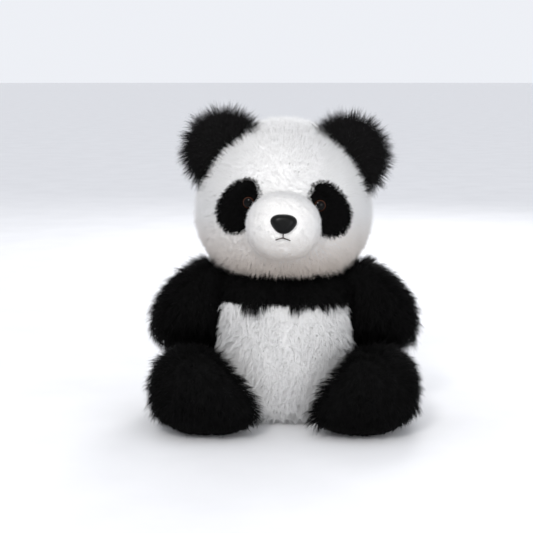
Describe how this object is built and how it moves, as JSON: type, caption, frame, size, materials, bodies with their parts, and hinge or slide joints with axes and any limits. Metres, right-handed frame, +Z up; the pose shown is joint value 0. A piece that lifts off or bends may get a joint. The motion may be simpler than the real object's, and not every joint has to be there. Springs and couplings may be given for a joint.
{
  "type": "plush panda",
  "caption": "Seated plush panda with a disc-jointed head, arms and legs, padded ears, set-in eye patches, domed eyes and nose.",
  "frame": {"origin": "middle of the flat seat under the body, on the surface that the toy sits on", "axes": "+Z up, the panda faces -Y, its own left is +X"},
  "size_m": [0.2956, 0.236, 0.3473],
  "materials": {
    "white_fur": "matte",
    "black_fur": "matte",
    "stuffing": "matte",
    "pellet_bag": "matte",
    "eye_plastic": "gloss",
    "nose_plastic": "satin",
    "joint_plastic": "satin",
    "mouth_thread": "matte"
  },
  "bodies": {
    "torso": {"body_skin": "white_fur", "shoulder_skin": "black_fur", "body_stuffing": "stuffing", "pellet_bag": "pellet_bag", "tail_skin": "white_fur", "tail_stuffing": "stuffing", "neck_washer": "joint_plastic", "left_shoulder_washer": "joint_plastic", "left_hip_washer": "joint_plastic", "right_shoulder_washer": "joint_plastic", "right_hip_washer": "joint_plastic"},
    "head": {"head_skin": "white_fur", "head_stuffing": "stuffing", "left_eye_patch": "black_fur", "right_eye_patch": "black_fur", "muzzle_skin": "white_fur", "muzzle_stuffing": "stuffing", "nose": "nose_plastic", "nose_washer": "joint_plastic", "left_eye": "eye_plastic", "right_eye": "eye_plastic", "left_eye_washer": "joint_plastic", "right_eye_washer": "joint_plastic", "mouth": "mouth_thread", "neck_disc": "joint_plastic", "neck_lock_washer": "joint_plastic", "left_ear_skin": "black_fur", "left_ear_stuffing": "stuffing", "right_ear_skin": "black_fur", "right_ear_stuffing": "stuffing"},
    "left_arm": {"left_arm_skin": "black_fur", "left_arm_stuffing": "stuffing", "left_shoulder_disc": "joint_plastic", "left_shoulder_lock_washer": "joint_plastic"},
    "left_leg": {"left_leg_skin": "black_fur", "left_leg_stuffing": "stuffing", "left_hip_disc": "joint_plastic", "left_hip_lock_washer": "joint_plastic"},
    "right_arm": {"right_arm_skin": "black_fur", "right_arm_stuffing": "stuffing", "right_shoulder_disc": "joint_plastic", "right_shoulder_lock_washer": "joint_plastic"},
    "right_leg": {"right_leg_skin": "black_fur", "right_leg_stuffing": "stuffing", "right_hip_disc": "joint_plastic", "right_hip_lock_washer": "joint_plastic"}
  },
  "joints": [
    {"name": "neck_turn", "type": "hinge", "parent": "torso", "child": "head", "pos_m": [-0.0039, 0, 0.168], "axis": [0.0419, 0, 0.9991], "range_deg": [-60, 60]},
    {"name": "left_shoulder_swing", "type": "hinge", "parent": "torso", "child": "left_arm", "pos_m": [0.074, -0.004, 0.13], "axis": [-1, 0, 0], "range_deg": [-30, 90]},
    {"name": "right_shoulder_swing", "type": "hinge", "parent": "torso", "child": "right_arm", "pos_m": [-0.074, -0.004, 0.13], "axis": [-1, 0, 0], "range_deg": [-30, 90]},
    {"name": "left_hip_swing", "type": "hinge", "parent": "torso", "child": "left_leg", "pos_m": [0.074, -0.01, 0.044], "axis": [-1, 0, 0], "range_deg": [-80, 0]},
    {"name": "right_hip_swing", "type": "hinge", "parent": "torso", "child": "right_leg", "pos_m": [-0.074, -0.01, 0.044], "axis": [-1, 0, 0], "range_deg": [-80, 0]}
  ]
}
